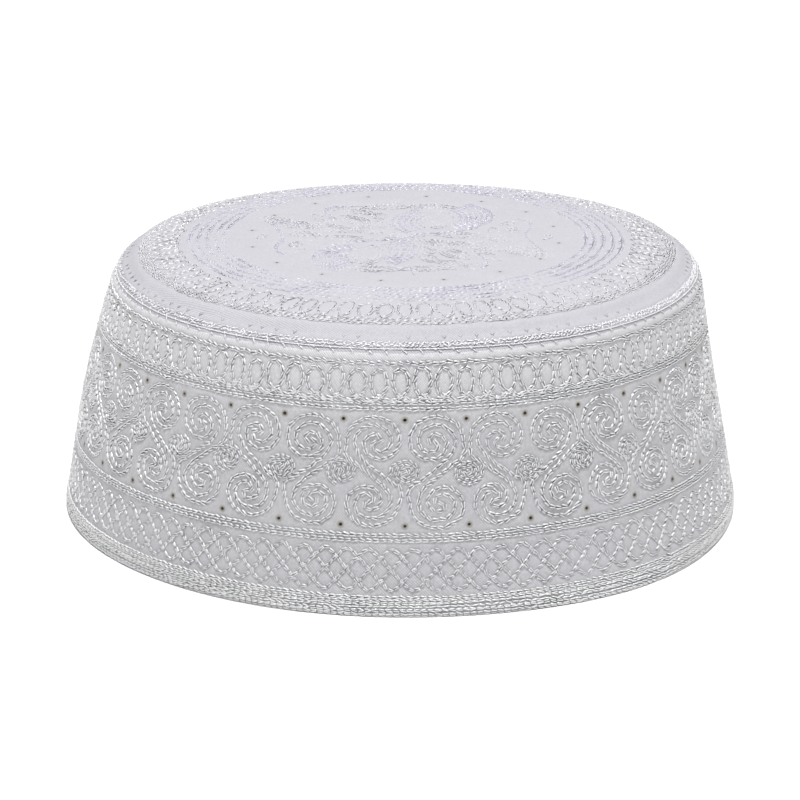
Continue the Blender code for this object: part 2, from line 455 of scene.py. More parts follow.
crown_half_cell = crown_columns[0] // CROWN_LINING_COLUMNS // 2
crown_shell.bridge(crown_lining[0], np.roll(crown_edge, -crown_half_cell))
crown_cotton = cotton("crown_cotton_twill", CROWN_PALE, CROWN_SHADE, CROWN_WELL_SHADE, 0.0, 0.0)
crown = crown_shell.mesh("crown_cloth", crown_outside_count, crown_cotton)
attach(crown, "root")
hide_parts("crown")


# Hem stitching: close rows of white cotton that run round the folded hem through all its layers, two of
# chain stitch over six plain ones. A chain's link is two strands with a slit between them, dark with real
# shadow and with painted shade on the cloth in it.
HEM_CHAINS = (0.0051, 0.0041)
HEM_ROWS = (0.0034, 0.0028, 0.0022, 0.0016, 0.0010, 0.0004)
CHAIN_PITCH = 0.00178
HEM_LINK = (0.00256, 0.00094, 0.00100)
HEM_STITCH = (0.00250, 0.00052, 0.00100)
# A thread's tones: of its whitest and its greyest stitches, and the painted shade at their ends and flanks
HEM_TONES = ((0.99, 0.99, 0.99), (0.90, 0.90, 0.91), (0.18, 0.18, 0.195))
BAND_TONES = ((0.97, 0.97, 0.98), (0.82, 0.82, 0.84), (0.08, 0.08, 0.092))
# The plies of a strand: how much they shade it, how many lie round it and how many turns show on a stitch
PLY_SHADE = 0.10
PLIES = 2
PLY_TURNS = 4
STITCH_SIDES = 5
# Painted shade darkens a stitch from the second to the first of these shares: round its two flanks, and to
# its ends
DARK_ABOVE = (0.21, 0.07)
DARK_BELOW = (-0.36, -0.20)
DARK_AT_ENDS = (0.46, 0.27)
# The two strands of a chain's link, in link widths and lengths: their width, how far each lies off the
# middle, and how far they lean together towards its end
STRAND_WIDTH = 0.50
STRAND_APART = 0.27
STRAND_HEIGHT = 0.92
STRAND_LEAN = math.radians(17.0)
# How much a stitch arches out of the cloth, and how far along from its middle it is highest
ARCH = 1.8
ARCH_SHIFT = 0.06
# How far a stitch may lean each way about its length, width and height, in radians at unevenness 1, and
# the least and most of its length, width and height against the given ones
MOST_ASKEW = (0.35, 0.5, 1.0)
LEAST_SIZE = (0.88, 0.85, 0.80)
MOST_SIZE = (1.10, 1.15, 1.20)

thread_paths = []
shaded_paths = []


def unit(rows):
    return rows / np.linalg.norm(rows, axis=1, keepdims=True)


def on_band(angle, height):
    """Points on the band's outside, and the outward normal at each."""
    def at(a, h):
        return cap_point(a, np.interp(h, band_line[:, 1], band_line[:, 0]), h)

    round_it = at(angle + 0.002, height) - at(angle - 0.002, height)
    up_it = at(angle, height + 0.0003) - at(angle, height - 0.0003)
    return at(angle, height), unit(np.cross(round_it, up_it))


def on_crown(angle, radius):
    """Points on the crown's outside, and the outward normal at each."""
    def at(a, r):
        return cap_point(a, r, np.interp(r, crown_line[::-1, 0], crown_line[::-1, 1]))

    step = 0.0003
    turn = step / np.maximum(radius, step)
    round_it = at(angle + turn, radius) - at(angle - turn, radius)
    inwards = at(angle, np.maximum(radius - step, 0.0)) - at(angle, radius + step)
    return at(angle, radius), unit(np.cross(round_it, inwards))


def wander(angle, amount, seed):
    """A slow, small departure from the drawn line that closes on itself round the cap."""
    rng = np.random.default_rng(seed)
    total = 0.0
    for waves in (3, 5, 8, 13, 21, 34):
        size = rng.normal()
        total = total + size * np.sin(waves * angle + rng.uniform(0.0, 2.0 * math.pi)) / math.sqrt(waves)
    return amount * total / 1.5


def band_ring(height, seed, amount=0.00012):
    """A closed row round the band, whose stitches don't line up with those of the next seed's row."""
    angle = 0.73 * seed + full_turn(1440)
    return (*on_band(angle, np.maximum(height + wander(angle, amount, seed), 0.0003)), True)


ROW_SOCKETS = (("Drawn Lines", "Geometry"), ("Pitch", "Float"), ("Length", "Float"), ("Width", "Float"),
               ("Height", "Float"), ("Slant", "Float"), ("Unevenness", "Float"), ("Seed", "Int"),
               ("Chain", "Bool"), ("Thread", "Material"))


def stitch_tree():
    """Lays stitch after stitch along the drawn lines, plain ones or chain links, each turned a little."""
    tree = bpy.data.node_groups.new("row_of_stitches", "GeometryNodeTree")
    names = {}
    for name, kind in ROW_SOCKETS:
        socket = tree.interface.new_socket(name, in_out="INPUT", socket_type="NodeSocket" + kind)
        names[name] = socket.identifier
    tree.interface.new_socket("Stitches", in_out="OUTPUT", socket_type="NodeSocketGeometry")
    given = tree.nodes.new("NodeGroupInput").outputs

    def shaken(low, high):
        between = {"Min": low, "Max": high, "Seed": given["Seed"]}
        return node(tree, "FunctionNodeRandomValue", between, data_type="FLOAT_VECTOR")

    def vector(operation, values):
        return node(tree, "ShaderNodeVectorMath", values, operation=operation)

    lines = node(tree, "GeometryNodeMeshToCurve", {"Mesh": given["Drawn Lines"]})
    pricked = node(tree, "GeometryNodeResampleCurve", {"Curve": lines, "Length": given["Pitch"]},
                   mode="LENGTH")
    along = node(tree, "GeometryNodeInputTangent")
    normal = node(tree, "GeometryNodeInputNamedAttribute", {"Name": "surface_normal"},
                  data_type="FLOAT_VECTOR")
    laid = node(tree, "FunctionNodeAxesToRotation", {"Primary Axis": normal, "Secondary Axis": along},
                primary_axis="Z", secondary_axis="X")
    askew = shaken([-most for most in MOST_ASKEW], MOST_ASKEW)
    askew = vector("SCALE", {0: askew, "Scale": given["Unevenness"]})
    slant = node(tree, "ShaderNodeCombineXYZ", {"Z": given["Slant"]})
    lean = node(tree, "FunctionNodeEulerToRotation", {"Euler": vector("ADD", {0: askew, 1: slant})})
    turned = node(tree, "FunctionNodeRotateRotation", {"Rotation": laid, "Rotate By": lean},
                  rotation_space="LOCAL")

    grain = node(tree, "GeometryNodeMeshUVSphere", {"Segments": STITCH_SIDES, "Rings": 3, "Radius": 0.5})
    thread_map = {"Name": "thread", "Geometry": grain, "Value": grain.node.outputs["UV Map"]}
    wound = node(tree, "GeometryNodeStoreNamedAttribute", thread_map, data_type="FLOAT2", domain="CORNER")
    plain = node(tree, "GeometryNodeTransform", {"Geometry": wound, "Rotation": (0.0, math.pi / 2.0, 0.0)})
    link = tree.nodes.new("GeometryNodeJoinGeometry")
    for side in (1.0, -1.0):
        strand = node(tree, "GeometryNodeTransform",
                      {"Geometry": plain, "Translation": (0.0, side * STRAND_APART, 0.0),
                       "Rotation": (0.0, 0.0, (0.5 - 0.5 * side) * math.pi - side * STRAND_LEAN),
                       "Scale": (1.0, STRAND_WIDTH, STRAND_HEIGHT)})
        tree.links.new(strand, link.inputs["Geometry"])
    choice = {"Switch": given["Chain"], "False": plain, "True": link.outputs["Geometry"]}
    chosen = node(tree, "GeometryNodeSwitch", choice, input_type="GEOMETRY")
    part = node(tree, "ShaderNodeSeparateXYZ", {"Vector": node(tree, "GeometryNodeInputPosition")}, "X")
    from_crest = counted(tree, "SUBTRACT", part, ARCH_SHIFT)
    sink = counted(tree, "MULTIPLY", counted(tree, "MULTIPLY", from_crest, from_crest), -ARCH)
    sunk = node(tree, "ShaderNodeCombineXYZ", {"Z": sink})
    arched = node(tree, "GeometryNodeSetPosition", {"Geometry": chosen, "Offset": sunk})
    smooth = node(tree, "GeometryNodeSetShadeSmooth", {"Geometry": arched})
    size = node(tree, "ShaderNodeCombineXYZ",
                {"X": given["Length"], "Y": given["Width"], "Z": given["Height"]})
    sized = vector("MULTIPLY", {0: size, 1: shaken(LEAST_SIZE, MOST_SIZE)})

    laid_down = node(tree, "GeometryNodeInstanceOnPoints",
                     {"Points": pricked, "Instance": smooth, "Rotation": turned, "Scale": sized})
    shade = node(tree, "FunctionNodeRandomValue", {"Seed": given["Seed"]}, data_type="FLOAT")
    tinted = {"Name": "tint", "Geometry": laid_down, "Value": shade}
    tint = node(tree, "GeometryNodeStoreNamedAttribute", tinted, data_type="FLOAT", domain="INSTANCE")
    real = node(tree, "GeometryNodeRealizeInstances", {"Geometry": tint})
    finished = node(tree, "GeometryNodeSetMaterial", {"Geometry": real, "Material": given["Thread"]})
    node(tree, "NodeGroupOutput", {"Stitches": finished})
    return tree, names


ROW_OF_STITCHES, ROW_SIZES = stitch_tree()


def cotton_thread(name, tones, gloss=1.75):
    """Glossy mercerised cotton, faintly plied. No two stitches match, and their ends and flanks get painted
    shade.
    """
    white, grey, painted_crease_shade = tones
    looks = {"Roughness": 0.24, "IOR": gloss, "Specular IOR Level": 0.9, "Sheen Weight": 0.10,
             "Sheen Roughness": 0.4}
    material, tree, shader = new_material(name, looks)
    wound = node(tree, "ShaderNodeUVMap", uv_map="thread")
    across = node(tree, "ShaderNodeSeparateXYZ", {"Vector": wound})
    along = across.node.outputs["Y"]
    round_it = counted(tree, "FRACT", counted(tree, "ADD", across, 1.0 / STITCH_SIDES))
    off_top = counted(tree, "SUBTRACT", round_it, 0.5)
    from_middle = counted(tree, "ABSOLUTE", counted(tree, "SUBTRACT", along, 0.5))
    turned = counted(tree, "ADD", counted(tree, "MULTIPLY", across, PLIES),
                     counted(tree, "MULTIPLY", along, PLY_TURNS))
    wave = counted(tree, "SINE", counted(tree, "MULTIPLY", turned, 2.0 * math.pi))
    plied = counted(tree, "ADD", counted(tree, "MULTIPLY", wave, 0.5 * PLY_SHADE), 1.0 - 0.5 * PLY_SHADE)
    # Painted shade: each stitch goes to its darkest tone at its flanks and ends, where it dips into the cloth
    clear_of_flank_shade = counted(tree, "MULTIPLY", reached(tree, off_top, *DARK_ABOVE),
                          reached(tree, off_top, *DARK_BELOW))
    clear_of_painted_shade = counted(tree, "MULTIPLY", reached(tree, from_middle, *DARK_AT_ENDS), clear_of_flank_shade)
    tint = node(tree, "ShaderNodeAttribute", output="Fac", attribute_name="tint")
    tone = mixed(tree, counted(tree, "MULTIPLY", clear_of_painted_shade, plied), painted_crease_shade, mixed(tree, tint, grey, white))
    tree.links.new(tone, shader.inputs["Base Color"])
    bump = node(tree, "ShaderNodeBump", {"Strength": 0.7, "Distance": 0.00010, "Height": plied})
    tree.links.new(bump, shader.inputs["Normal"])
    return material


def sewn(name, lines, thread, pitch, stitch, slant, seed, unevenness=0.32, chain=True, shades=True):
    """A piece of stitching along lines, each given by its points, its normals and whether it is closed.

    Stitches that shade the cloth draw it in deep and leave painted shade on it there; the others lie flat on
    it.
    """
    points = np.concatenate([line[0] for line in lines])
    normals = np.concatenate([line[1] for line in lines])
    edges = []
    start = 0
    for line_points, _, closed in lines:
        count = len(line_points)
        edges += [(start + k, start + k + 1) for k in range(count - 1)]
        if closed:
            edges.append((start + count - 1, start))
        start += count
    thread_paths.append(points)
    if shades:
        shaded_paths.append(points)
    drawing = bpy.data.meshes.new(name + "_lines")
    drawing.from_pydata(points.tolist(), edges, [])
    kept_normals = drawing.attributes.new("surface_normal", "FLOAT_VECTOR", "POINT")
    kept_normals.data.foreach_set("vector", normals.ravel())
    drawn = placed(name + "_lines", drawing)
    sewing = drawn.modifiers.new("stitches", "NODES")
    sewing.node_group = ROW_OF_STITCHES
    length, width, height = stitch
    given = {"Pitch": pitch, "Length": length, "Width": width, "Height": height, "Slant": math.radians(slant),
             "Unevenness": unevenness, "Seed": seed, "Chain": chain, "Thread": thread}
    for socket, value in given.items():
        sewing[ROW_SIZES[socket]] = value
    graph = bpy.context.evaluated_depsgraph_get()
    evaluated = drawn.evaluated_get(graph)
    mesh = bpy.data.meshes.new_from_object(evaluated, preserve_all_data_layers=True, depsgraph=graph)
    bpy.data.objects.remove(drawn)
    return placed(name, mesh)


band_thread = cotton_thread("band_thread", BAND_TONES)
hem_thread = cotton_thread("hem_thread", HEM_TONES)
hem_chain_lines = [band_ring(height, 11 + k, 0.00016) for k, height in enumerate(HEM_CHAINS)]
hem_chains = sewn("hem_chain_rows", hem_chain_lines, hem_thread, CHAIN_PITCH, HEM_LINK, -5.0, 3,
                  unevenness=0.26)
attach(hem_chains, "root")
hem_lines = [band_ring(height, 13 + k, 0.00020) for k, height in enumerate(HEM_ROWS)]
hem_stitching = sewn("hem_stitching", hem_lines, hem_thread, CHAIN_PITCH, HEM_STITCH, -3.0, 4,
                     unevenness=0.3, chain=False)
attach(hem_stitching, "root")


# Lattice: four rounded zigzags of chain stitch that cross each other above the hem, each a quarter of
# a period on from the last.
LATTICE_MIDDLE = 0.0120
LATTICE_RISE = 0.0052
LATTICE_START = FRONT + 0.0253
LATTICE_PERIODS = 25
LATTICE_LINES = 4
LATTICE_ROUNDNESS = 0.96
LATTICE_PITCH = 0.00162
LATTICE_LINK = (0.00222, 0.00078, 0.00104)
CHAIN_SLANT = -7.0


def lattice_line(number):
    angle = full_turn(2160)
    phase = LATTICE_PERIODS * (angle - LATTICE_START) + 2.0 * math.pi * number / LATTICE_LINES
    phase = phase + wander(angle, 0.06, 31 + number)
    wave = np.arcsin(LATTICE_ROUNDNESS * np.sin(phase)) / math.asin(LATTICE_ROUNDNESS)
    rise = LATTICE_RISE * (1.0 + wander(angle, 0.02, 41 + number))
    return (*on_band(angle, LATTICE_MIDDLE + rise * wave), True)


lattice = sewn("lattice_embroidery", [lattice_line(k) for k in range(LATTICE_LINES)],
               band_thread, LATTICE_PITCH, LATTICE_LINK, CHAIN_SLANT, 5)
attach(lattice, "root")


# Chain rows: rounds of chain stitch in the band's white cotton that frame the scrolls, two below them
# and two above, sewn through both layers of the cloth.
CHAIN_ROWS = (0.0194, 0.0207, 0.0525, 0.0539)
ROW_LINK = (0.00252, 0.00104, 0.00108)

chain_rows = sewn("band_chain_rows", [band_ring(height, 51 + k) for k, height in enumerate(CHAIN_ROWS)],
                  band_thread, CHAIN_PITCH, ROW_LINK, -4.0, 7, unevenness=0.24)
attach(chain_rows, "root")


# Scrolls: one S of white chain stitch between each two eyelets, every second one mirrored. Each is one
# closed line, laid double, that winds into a spiral at both ends and crosses over between them.
SCROLL_CENTRE_HEIGHT = 0.0364
SCROLL_RADIUS = 0.086
# Each spiral's middle, right and up from the middle of the S (the lower one turned half round), and size
SPIRALS = ((0.0009, 0.0076, 0.97), (0.0010, 0.0075, 0.90))
SPIRAL_FLATNESS = 0.92
# Outer and inner arm of a spiral: its radius at the start, how much it loses a turn, and its turns
OUTER_ARM = (0.0085, 0.0051, 1.55)
INNER_ARM = (0.00605, 0.0047, 1.10)
# The crossing of the outer arm of the upper spiral to the inner arm of the lower one: right, up
CROSSING = ((-0.0071, 0.0046), (-0.0052, 0.0028), (-0.0025, 0.0008), (0.0000, -0.0011), (0.0024, -0.0031),
            (0.0040, -0.0052))
WALL_LEAN = math.atan(WALL_TAPER)
CHAIN_LINK = (0.00246, 0.00096, 0.00106)


def through(points, step=0.0004):
    """A smooth line through the charted points, walked in fine steps."""
    points = np.array(points, dtype=float)
    padded = np.vstack([2.0 * points[0] - points[1], points, 2.0 * points[-1] - points[-2]])
    parts = []
    for before, a, b, after in zip(padded, padded[1:], padded[2:], padded[3:]):
        t = np.linspace(0.0, 1.0, max(2, int(np.linalg.norm(b - a) / step) + 1), endpoint=False)[:, None]
        parts.append(0.5 * (2.0 * a + (b - before) * t + (2.0 * before - 5.0 * a + 4.0 * b - after) * t ** 2
                            + (3.0 * a - before - 3.0 * b + after) * t ** 3))
    return np.vstack(parts + [points[-1:]])


def spiral_arm(arm, grown, centre, fewer_turns):
    """An arm of a spiral, from its outer end on the left, over the top and in towards the middle."""
    start_radius, lost, turns = arm
    turn = np.linspace(0.0, turns - fewer_turns, 64)
    radius = start_radius * grown - lost * grown * turn
    bearing = math.pi - 2.0 * math.pi * turn
    return np.stack([centre[0] + radius * np.cos(bearing),
                     centre[1] + SPIRAL_FLATNESS * radius * np.sin(bearing)], axis=1)


def scroll_line(rng):
    """The closed line of one S, right and up from its middle."""
    ends = []
    for right, up, size in SPIRALS:
        centre = np.array((right, up)) + rng.uniform(-0.0003, 0.0003, 2)
        grown = size + rng.uniform(-0.03, 0.03)
        fewer = rng.uniform(0.0, 0.12)
        ends.append([spiral_arm(arm, grown, centre, fewer) for arm in (OUTER_ARM, INNER_ARM)])
    (top_outer, top_inner), (low_outer, low_inner) = ends
    crossing = np.array(CROSSING)
    return through(np.vstack([top_outer[::-4], crossing, -low_inner[::4], -low_outer[::-4], -crossing,
                              top_inner[::4], top_outer[-1:]]))[:-1]


def on_wall(line, centre_angle, centre_height, mirrored=False):
    """Lays a charted line (right, up) on the band's wall."""
    right = -line[:, 0] if mirrored else line[:, 0]
    return on_band(centre_angle + right / SCROLL_RADIUS, centre_height + line[:, 1] * math.cos(WALL_LEAN))


scroll_rng = np.random.default_rng(61)
scrolls = []
for k in range(EYELETS_IN_A_ROW):
    middle = FRONT + 2.0 * math.pi * (k + 0.5) / EYELETS_IN_A_ROW
    line = scroll_line(scroll_rng)
    scrolls.append((*on_wall(line, middle, SCROLL_CENTRE_HEIGHT, mirrored=k % 2 == 0), True))
scroll_embroidery = sewn("scroll_embroidery", scrolls, band_thread, CHAIN_PITCH, CHAIN_LINK, CHAIN_SLANT, 9)
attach(scroll_embroidery, "root")


# Rosettes: a small filled spiral of close chain stitch between each two scrolls, midway between the two
# rows of eyelets.
ROSETTE_RADIUS = 0.0039
ROSETTE_TURNS_APART = 0.00125
ROSETTE_EYE = 0.0003
ROSETTE_FLATNESS = 0.86
ROSETTE_PITCH = 0.0014
ROSETTE_LINK = (0.0019, 0.00084, 0.00094)

rosette_rng = np.random.default_rng(71)
rosettes = []
turn = np.linspace(0.0, (ROSETTE_RADIUS - ROSETTE_EYE) / ROSETTE_TURNS_APART, 150)
for middle in eyelet_angles:
    radius = (ROSETTE_RADIUS - ROSETTE_TURNS_APART * turn) * (1.0 + rosette_rng.uniform(-0.04, 0.04))
    bearing = rosette_rng.uniform(0.0, 2.0 * math.pi) - 2.0 * math.pi * turn
    spiral = np.stack([radius * np.cos(bearing), ROSETTE_FLATNESS * radius * np.sin(bearing)], axis=1)
    spiral = spiral + rosette_rng.uniform(-0.0002, 0.0002, 2)
    rosettes.append((*on_wall(spiral, middle, SCROLL_CENTRE_HEIGHT), False))
rosette_embroidery = sewn("rosette_embroidery", rosettes, band_thread, ROSETTE_PITCH, ROSETTE_LINK,
                          CHAIN_SLANT, 13, unevenness=0.5)
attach(rosette_embroidery, "root")


# Band loops: one running line of tall loops that stands on the upper chain row, each crossed by the next,
# with a gently waved line along their tops and another over their crossed feet.
BAND_LOOPS = 95
BAND_LOOP_FOOT = 0.0536
BAND_LOOP_TOP_LINE = 0.0640
BAND_LOOP_START = FRONT - 0.013
BAND_LOOP_FOOT_LINE = 0.0551
BAND_LOOP_STRETCH = 0.96
# One loop of the running line: right, up, in millimetres for a loop of this width
LOOP_CHART = (
    (-0.70, 1.5), (0.80, 2.4), (1.75, 3.8), (2.10, 5.7), (1.80, 7.8), (0.85, 9.1), (-0.45, 9.2), (-1.60, 8.2),
    (-2.05, 6.4), (-1.85, 4.6), (-1.10, 3.0), (0.20, 1.9), (1.80, 1.0), (3.40, 0.8),
)
LOOP_CHART_WIDTH = 5.6
MILLIMETRE = 0.001


def running_loops(count, seed):
    """The running loop line round the whole cap: how far round each point is, and how far up, in metres."""
    rng = np.random.default_rng(seed)
    places = []
    for k in range(count):
        taller = 1.0 + rng.uniform(-0.05, 0.05)
        wider = 1.0 + rng.uniform(-0.08, 0.08)
        for right, up in LOOP_CHART:
            stretch = wider if up > 1.0 else 1.0
            places.append((k + right * stretch / LOOP_CHART_WIDTH, up * MILLIMETRE * taller))
    scaled = through(np.array(places) * (LOOP_CHART_WIDTH * MILLIMETRE, 1.0))
    return 2.0 * math.pi * scaled[:, 0] / (LOOP_CHART_WIDTH * MILLIMETRE) / count, scaled[:, 1]


def waved_line(height, rise, shift, seed):
    angle = full_turn(1840)
    wave = rise * np.sin(BAND_LOOPS * (angle - BAND_LOOP_START) + shift)
    return (*on_band(angle, height + wave + wander(angle, 0.0001, seed)), True)


loop_round, loop_up = running_loops(BAND_LOOPS, 81)
loop_line = on_band(BAND_LOOP_START + loop_round, BAND_LOOP_FOOT + BAND_LOOP_STRETCH * loop_up)
band_loops = sewn("band_loop_embroidery",
                  [(*loop_line, False), waved_line(BAND_LOOP_TOP_LINE, 0.0002, 0.0, 83),
                   waved_line(BAND_LOOP_FOOT_LINE, 0.0005, 1.2, 85)],
                  band_thread, CHAIN_PITCH, CHAIN_LINK, CHAIN_SLANT, 15)
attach(band_loops, "root")


# Seam stitching: two crossed, uneven rows of overcast stitches hold the crown's lapped edge to the band. A
# fine row lies along the very edge and bites down into the band every few millimetres, where the needle
# also pricked the crown above. The pricks' dark grey is painted shade, for the shadow in the needle holes.
SEAM_RADIUS = 0.0794
SEAM_WAVE = 0.00045
SEAM_BITES = 114
# The edge row is sewn down the crown's edge and on to the band: radius, height
EDGE_WALK = ((0.0796, 0.0681), (0.0804, 0.0671), (0.0809, 0.0662), (0.0813, 0.0654))
EDGE_ROW_AT = 0.30
PRICK_RADIUS = 0.0775
PRICK_SHIFT = 0.0012
PRICK_LENGTH = 0.0007
# The share of pricks that show, and how far the place, the slant and the reach of pricks and bites vary
PRICKS_SHOWN = 0.8
PRICK_STRAYS = 0.0005
BITE_STRAYS = 0.08
BITE_SLANTS = (0.0004, 0.0014)
BITE_REACHES = (0.48, 0.66)
OVERCAST_PITCH = 0.0011
OVERCAST_STITCH = (0.0014, 0.00046, 0.00036)
EDGE_PITCH = 0.0009
EDGE_STITCH = (0.0014, 0.00037, 0.00034)
PRICK_STITCH = (0.0008, 0.00026, 0.00018)
SEAM_TONES = ((0.97, 0.965, 0.985), (0.90, 0.895, 0.92), (0.60, 0.59, 0.62))
# Painted shade: the pricks' dark tones stand for the shadow in the needle holes
PRICK_SHADE_TONES = ((0.47, 0.465, 0.49), (0.38, 0.375, 0.40), (0.24, 0.235, 0.26))


def overcast_row(number):
    """One of the two overcast rows, which weave to and fro across each other."""
    angle = full_turn(2880)
    wave = 2.0 * SEAM_BITES * angle + math.pi * number + wander(angle, 0.8, 95 + number)
    radius = SEAM_RADIUS + SEAM_WAVE * np.sin(wave) + wander(angle, 0.00012, 91 + number)
    return (*on_crown(angle, radius), True)


def over_edge(angle, down, closed):
    """A line over the crown's edge: down is 0 high on the crown and 1 on the band."""
    down = np.clip(down, 0.0, 1.0) * (len(EDGE_WALK) - 1)
    radius, height = [np.interp(down, np.arange(len(EDGE_WALK)), walk) for walk in zip(*EDGE_WALK)]
    normals = np.stack([np.cos(angle), np.sin(angle), 0.75 - 0.15 * down], axis=1)
    return cap_point(angle, radius, height), unit(normals), closed


def edge_lines(seed):
    """The row along the crown's edge, and its slanting bites down on to the band."""
    rng = np.random.default_rng(seed)
    angle = full_turn(1440)
    lines = [over_edge(angle, EDGE_ROW_AT + wander(angle, 0.03, seed), True)]
    share = np.linspace(0.0, 1.0, 6)
    for k in range(SEAM_BITES):
        tip = 2.0 * math.pi * (k + 0.5 + rng.uniform(-BITE_STRAYS, BITE_STRAYS)) / SEAM_BITES
        lines.append(over_edge(tip - (1.0 - share) * rng.uniform(*BITE_SLANTS) / PRICK_RADIUS,
                               EDGE_ROW_AT + (rng.uniform(*BITE_REACHES) - EDGE_ROW_AT) * share, False))
    return lines


seam_thread = cotton_thread("seam_thread", SEAM_TONES, 1.5)
seam_overcast = sewn("seam_overcast", [overcast_row(k) for k in (0, 1)], seam_thread, OVERCAST_PITCH,
                     OVERCAST_STITCH, 20.0, 17, unevenness=0.8, chain=False)
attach(seam_overcast, "root")
seam_edge = sewn("seam_edge_row", edge_lines(92), seam_thread, EDGE_PITCH, EDGE_STITCH, -6.0, 18,
                 unevenness=0.15, chain=False)
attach(seam_edge, "root")
prick_rng = np.random.default_rng(93)
pricks = []
ends = np.linspace(0.0, 1.0, 3) * PRICK_LENGTH
radius = PRICK_RADIUS + 0.0003 - ends * 0.6
for k in range(SEAM_BITES):
    shift = PRICK_SHIFT + prick_rng.uniform(-PRICK_STRAYS, PRICK_STRAYS)
    angle = 2.0 * math.pi * (k + 0.5) / SEAM_BITES + shift / PRICK_RADIUS
    if prick_rng.uniform() < PRICKS_SHOWN:
        for side in (-1.0, 1.0):
            pricks.append((*on_crown(angle + side * ends * 0.5 / PRICK_RADIUS, radius), False))
painted_prick_shade = cotton_thread("painted_prick_shade", PRICK_SHADE_TONES, 1.4)
seam_pricks = sewn("seam_pricks", pricks, painted_prick_shade, PRICK_LENGTH, PRICK_STITCH, 0.0, 24,
                   unevenness=0.3, chain=False, shades=False)
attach(seam_pricks, "root")


# Crown loops: the same running loops, their tops towards the middle of the crown. They stand on three
# scalloped rows of chain stitch that lie close together.
CROWN_LOOPS = 83
CROWN_LOOP_FOOT = 0.0729
CROWN_LOOP_STRETCH = 1.15
CROWN_FOOT_ROWS = (0.0724, 0.0731, 0.0738)
CROWN_LOOP_LINK = (0.00250, 0.00088, 0.00092)
# Painted shade: white cotton given darker tones than the band's thread, to temper the stronger light on the
# crown
CROWN_TONES = ((0.82, 0.815, 0.85), (0.66, 0.655, 0.69), (0.09, 0.085, 0.105))


def scalloped_row(number):
    angle = full_turn(1800)
    scallop = 0.00025 * np.abs(np.sin(CROWN_LOOPS / 2.0 * angle + number * math.pi / 4.0))
    radius = CROWN_FOOT_ROWS[number] + scallop + wander(angle, 0.00008, 103 + number)
    return (*on_crown(angle, radius), True)


crown_thread = cotton_thread("crown_thread", CROWN_TONES, 1.5)
loop_round, loop_up = running_loops(CROWN_LOOPS, 101)
loop_line = on_crown(FRONT + loop_round, CROWN_LOOP_FOOT - CROWN_LOOP_STRETCH * loop_up)
foot_rows = [scalloped_row(k) for k in range(len(CROWN_FOOT_ROWS))]
crown_loop_embroidery = sewn("crown_loop_embroidery", [(*loop_line, False)] + foot_rows, crown_thread,
                             CHAIN_PITCH, CROWN_LOOP_LINK, CHAIN_SLANT, 19)
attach(crown_loop_embroidery, "root")


# Crown rings: five rings of wide chain stitch in a lilac-grey tone, darker than the cloth, sewn flat on the
# crown round the motif.
# The two strands of each link show as double lines.
CROWN_RINGS = (0.0591, 0.0565, 0.0538, 0.0512, 0.0489)
RING_LINK = (0.00258, 0.00130, 0.00056)
RING_TONES = ((0.69, 0.68, 0.755), (0.61, 0.60, 0.675), (0.50, 0.49, 0.58))


def crown_ring(radius, seed):
    angle = full_turn(1200)
    return (*on_crown(angle, radius + wander(angle, 0.0001, seed)), True)


crown_rings = [crown_ring(radius, 111 + k) for k, radius in enumerate(CROWN_RINGS)]
ring_thread = cotton_thread("ring_thread", RING_TONES, 1.4)
crown_ring_embroidery = sewn("crown_ring_embroidery", crown_rings, ring_thread, CHAIN_PITCH, RING_LINK,
                             CHAIN_SLANT, 21, shades=False)
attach(crown_ring_embroidery, "root")


# Crown motif: the flower medallion in the middle of the crown, the same turned half round. Crescents of
# chain stitch in a lilac-grey tone make its two great buds and its stems, and fine stitches fill its pointed
# leaves.
MOTIF_TONES = ((0.72, 0.715, 0.77), (0.67, 0.665, 0.72), (0.68, 0.67, 0.74))
BUD_LINK = (0.00255, 0.00118, 0.00062)
MOTIF_PITCH = 0.00120
MOTIF_STITCH = (0.00145, 0.00056, 0.00032)
# The outermost and the innermost crescent of each side of a bud, in millimetres, and how many there are
BUD_CRESCENTS = (
    (((-14.4, -8.4), (-21.3, -12.0), (-24.2, -20.0), (-22.9, -27.0), (-18.5, -32.6)),
     ((-13.2, -12.0), (-14.9, -14.6), (-15.6, -18.6), (-15.0, -22.6), (-13.2, -26.0)), 7),
    (((-0.6, -3.0), (2.4, -8.2), (3.2, -13.7), (2.1, -19.9), (-3.0, -27.0)),
     ((-5.4, -8.6), (-3.8, -11.6), (-3.4, -14.4), (-3.9, -17.4), (-5.8, -20.6)), 5),
)
# Leaves and petals of one half, in millimetres: middle x, y, turn in degrees, length, width
LEAVES = (
    (-32.0, 14.2, 143, 19.0, 7.4), (-20.4, 9.0, 150, 16.0, 6.8), (-13.2, 16.4, 126, 13.0, 6.0),
    (-21.8, 18.4, 132, 11.0, 4.8), (-9.8, 6.4, 150, 12.0, 5.4), (-16.4, -1.4, 176, 16.0, 5.2),
    (-27.0, 2.6, 165, 9.0, 5.0), (-6.0, 12.4, 112, 8.0, 4.0), (-38.6, 0.2, 70, 4.6, 2.4),
    (-29.4, -7.4, 82, 5.4, 3.2), (-24.4, -6.6, 104, 5.6, 3.0), (-28.4, -13.6, 40, 5.0, 2.6),
    (-19.6, 28.6, 76, 5.6, 2.6), (-9.4, -17.6, 86, 19.0, 8.2), (6.4, -20.6, 116, 8.6, 4.4),
    (12.0, -25.0, 160, 9.0, 4.4), (5.0, -30.4, 4, 13.0, 4.8), (-7.6, -30.6, 176, 14.0, 5.0),
    (2.6, -34.2, 84, 3.4, 1.8), (14.0, -29.6, 20, 6.0, 3.0),
)
LEAF_ROWS_APART = 1.05
